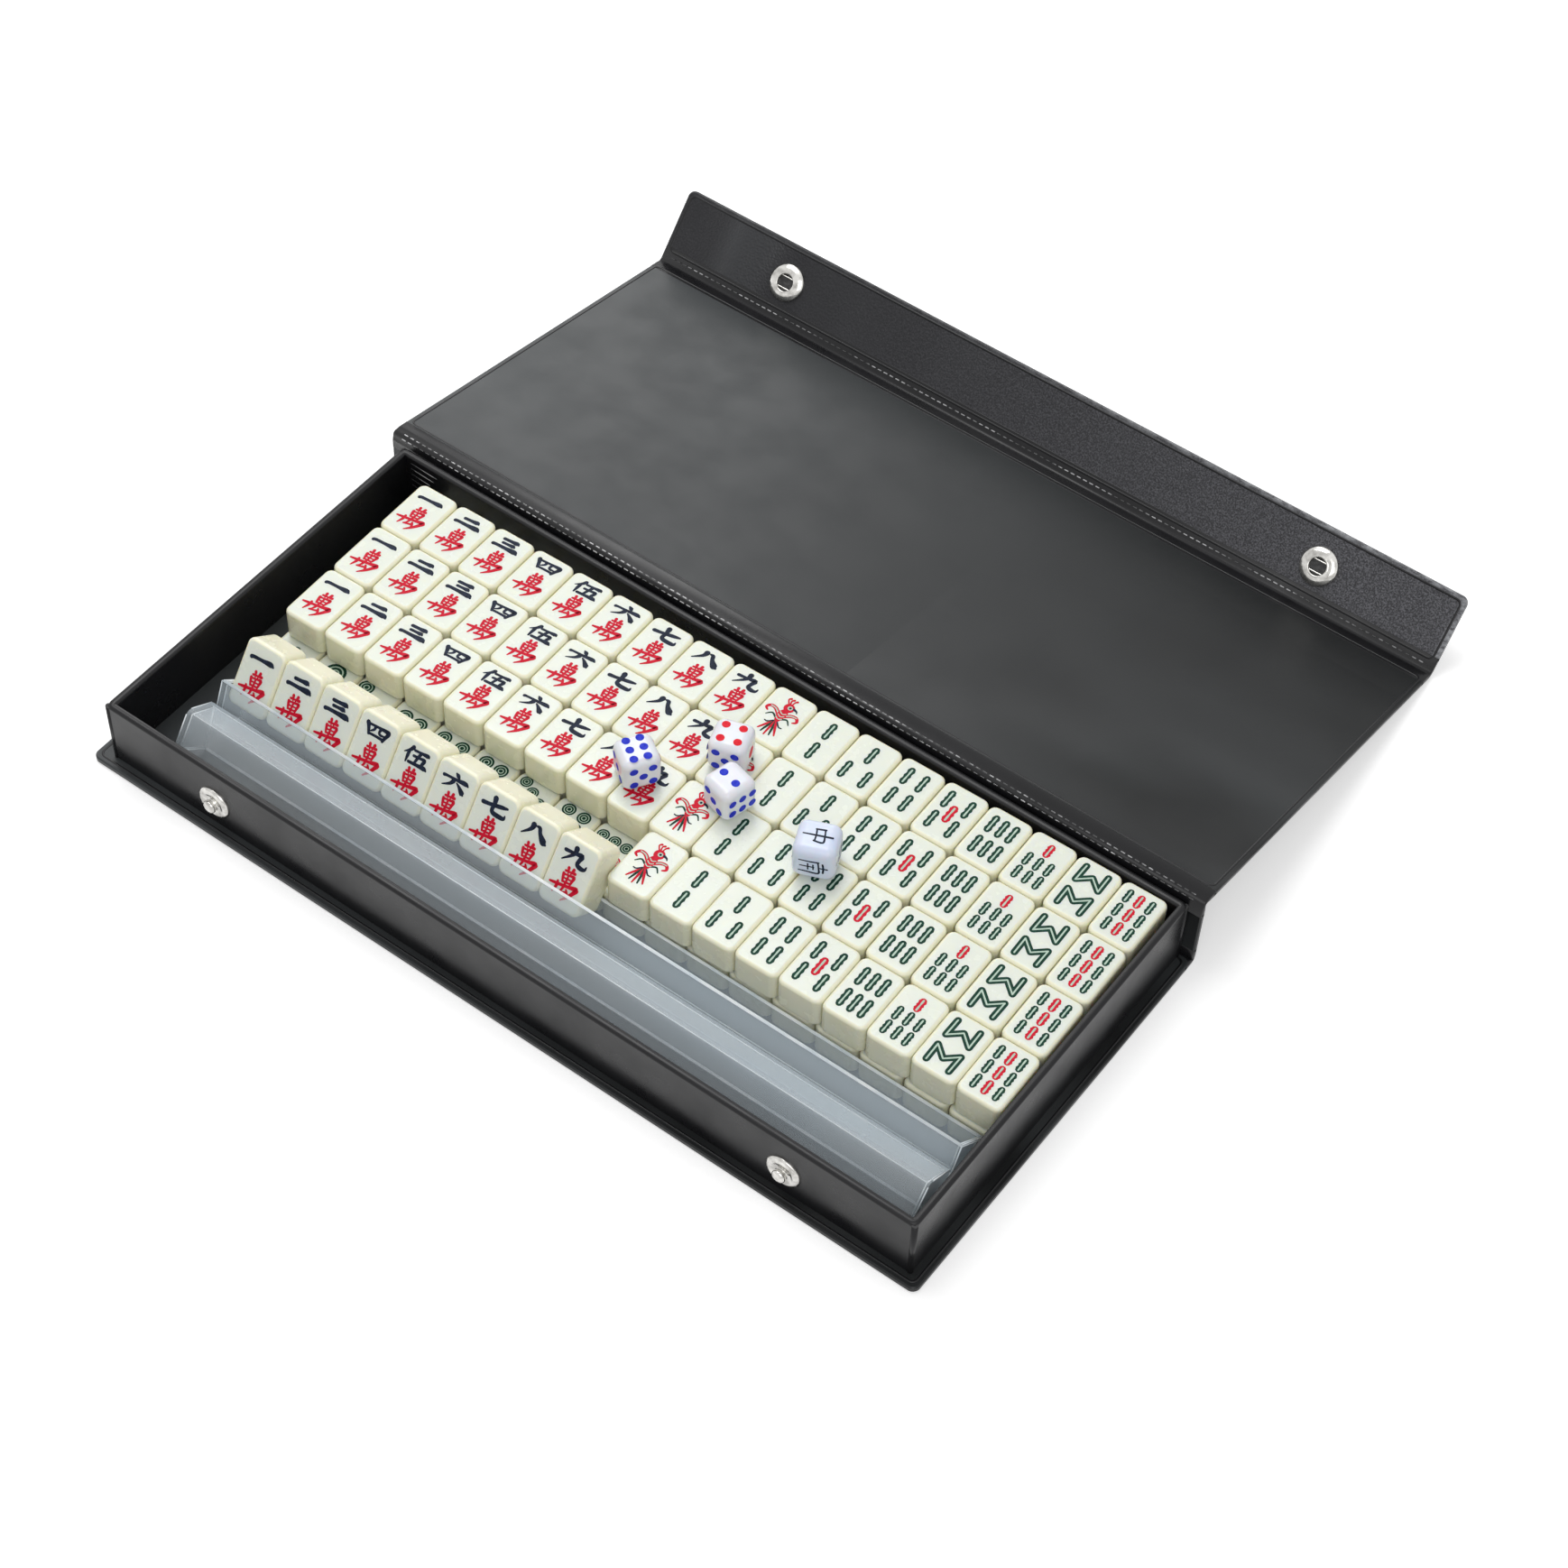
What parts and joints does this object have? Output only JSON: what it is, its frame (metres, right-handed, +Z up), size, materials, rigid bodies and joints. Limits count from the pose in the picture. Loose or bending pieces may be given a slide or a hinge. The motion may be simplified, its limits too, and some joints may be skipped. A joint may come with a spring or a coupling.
{
  "type": "mahjong case",
  "caption": "Vinyl-wrapped folding box with a tray of tiles in two layers, tile racks, dice, a hinged lid and a front flap with snap fasteners.",
  "frame": {"origin": "middle of the base's underside", "axes": "+X along the case's length to the right seen from the front, +Y to the back where the lid is hinged, +Z up"},
  "size_m": [0.302, 0.2943, 0.0388],
  "materials": {
    "black_vinyl": "satin grained vinyl",
    "lining_vinyl": "satin",
    "grey_board": "raw greyboard",
    "nickel_steel": "nickel plated",
    "frosted_plastic": "frosted translucent",
    "ivory_plastic": "polished",
    "white_plastic": "polished",
    "bluish_plastic": "polished"
  },
  "bodies": {
    "case_base": {"base_board": "grey_board", "base_outer_skin": "black_vinyl", "base_lining": "lining_vinyl", "tray_wall_front": "black_vinyl", "tray_wall_right": "black_vinyl", "tray_wall_back": "black_vinyl", "tray_wall_left": "black_vinyl", "tray_floor_lining": "lining_vinyl", "snap_studs": "nickel_steel", "stud_rivets": "nickel_steel", "lower_dots_1": "ivory_plastic", "lower_honours_1": "ivory_plastic", "lower_dots_2": "ivory_plastic", "lower_honours_2": "ivory_plastic", "lower_dots_3": "ivory_plastic", "lower_honours_3": "ivory_plastic", "lower_dots_4": "ivory_plastic", "lower_honours_4": "ivory_plastic"},
    "spine": {"spine_board": "grey_board", "spine_outer_skin": "black_vinyl", "spine_lining": "lining_vinyl", "spine_hinge_web": "black_vinyl"},
    "lid": {"lid_board": "grey_board", "lid_outer_skin": "black_vinyl", "lid_lining": "lining_vinyl", "lid_hinge_web": "black_vinyl"},
    "flap": {"flap_board": "grey_board", "flap_outer_skin": "black_vinyl", "flap_lining": "lining_vinyl", "flap_hinge_web": "black_vinyl", "snap_sockets": "nickel_steel", "socket_caps": "nickel_steel", "socket_springs": "nickel_steel"},
    "upper_back_row": {"upper_characters_1": "ivory_plastic", "upper_bamboo_1": "ivory_plastic"},
    "upper_middle_rows": {"upper_characters_2": "ivory_plastic", "upper_bamboo_2": "ivory_plastic", "upper_characters_3": "ivory_plastic", "upper_bamboo_3": "ivory_plastic"},
    "upper_front_row": {"upper_bamboo_4": "ivory_plastic"},
    "rear_rack": {"rack_rear": "frosted_plastic"},
    "front_rack": {"rack_front": "frosted_plastic"},
    "racked_tiles": {"racked_characters": "ivory_plastic"},
    "left_die": {"die_left": "white_plastic"},
    "back_die": {"die_back": "white_plastic"},
    "right_die": {"die_right": "white_plastic"},
    "lettered_die": {"wind_die": "bluish_plastic"}
  },
  "joints": [
    {"name": "spine_hinge", "type": "hinge", "parent": "case_base", "child": "spine", "pos_m": [0, 0.0703, 0.0011], "axis": [-1, 0, 0], "range_deg": [-1, 88], "deforming": ["spine_hinge_web"]},
    {"name": "lid_hinge", "type": "hinge", "parent": "spine", "child": "lid", "pos_m": [0, 0.07081, 0.02755], "axis": [-1, 0, 0], "range_deg": [-167, 30], "deforming": ["lid_hinge_web"]},
    {"name": "flap_hinge", "type": "hinge", "parent": "lid", "child": "flap", "pos_m": [0, 0.20728, 0.0011], "axis": [1, 0, 0], "range_deg": [-60, 75], "deforming": ["flap_hinge_web"]},
    {"name": "back_row_lift", "type": "slide", "parent": "case_base", "child": "upper_back_row", "axis": [0, 0, 1], "range_m": [0, 0.02]},
    {"name": "middle_rows_lift", "type": "slide", "parent": "case_base", "child": "upper_middle_rows", "axis": [0, 0, 1], "range_m": [0, 0.02]},
    {"name": "front_row_lift", "type": "slide", "parent": "case_base", "child": "upper_front_row", "axis": [0, 0, 1], "range_m": [0, 0.02]},
    {"name": "front_rack_lift", "type": "slide", "parent": "case_base", "child": "front_rack", "axis": [0, 0, 1], "range_m": [0, 0.025]},
    {"name": "rear_rack_slide", "type": "slide", "parent": "case_base", "child": "rear_rack", "axis": [-1, 0, 0], "range_m": [0, 0.015]},
    {"name": "racked_tiles_draw", "type": "slide", "parent": "rear_rack", "child": "racked_tiles", "axis": [0, 0.5948, 0.8039], "range_m": [0, 0.012]},
    {"name": "left_die_lift", "type": "slide", "parent": "upper_middle_rows", "child": "left_die", "axis": [0, 0, 1], "range_m": [0, 0.01]},
    {"name": "back_die_lift", "type": "slide", "parent": "upper_middle_rows", "child": "back_die", "axis": [0, 0, 1], "range_m": [0, 0.01]},
    {"name": "right_die_lift", "type": "slide", "parent": "upper_middle_rows", "child": "right_die", "axis": [0, 0, 1], "range_m": [0, 0.01]},
    {"name": "lettered_die_lift", "type": "slide", "parent": "upper_middle_rows", "child": "lettered_die", "axis": [0, 0, 1], "range_m": [0, 0.01]}
  ]
}
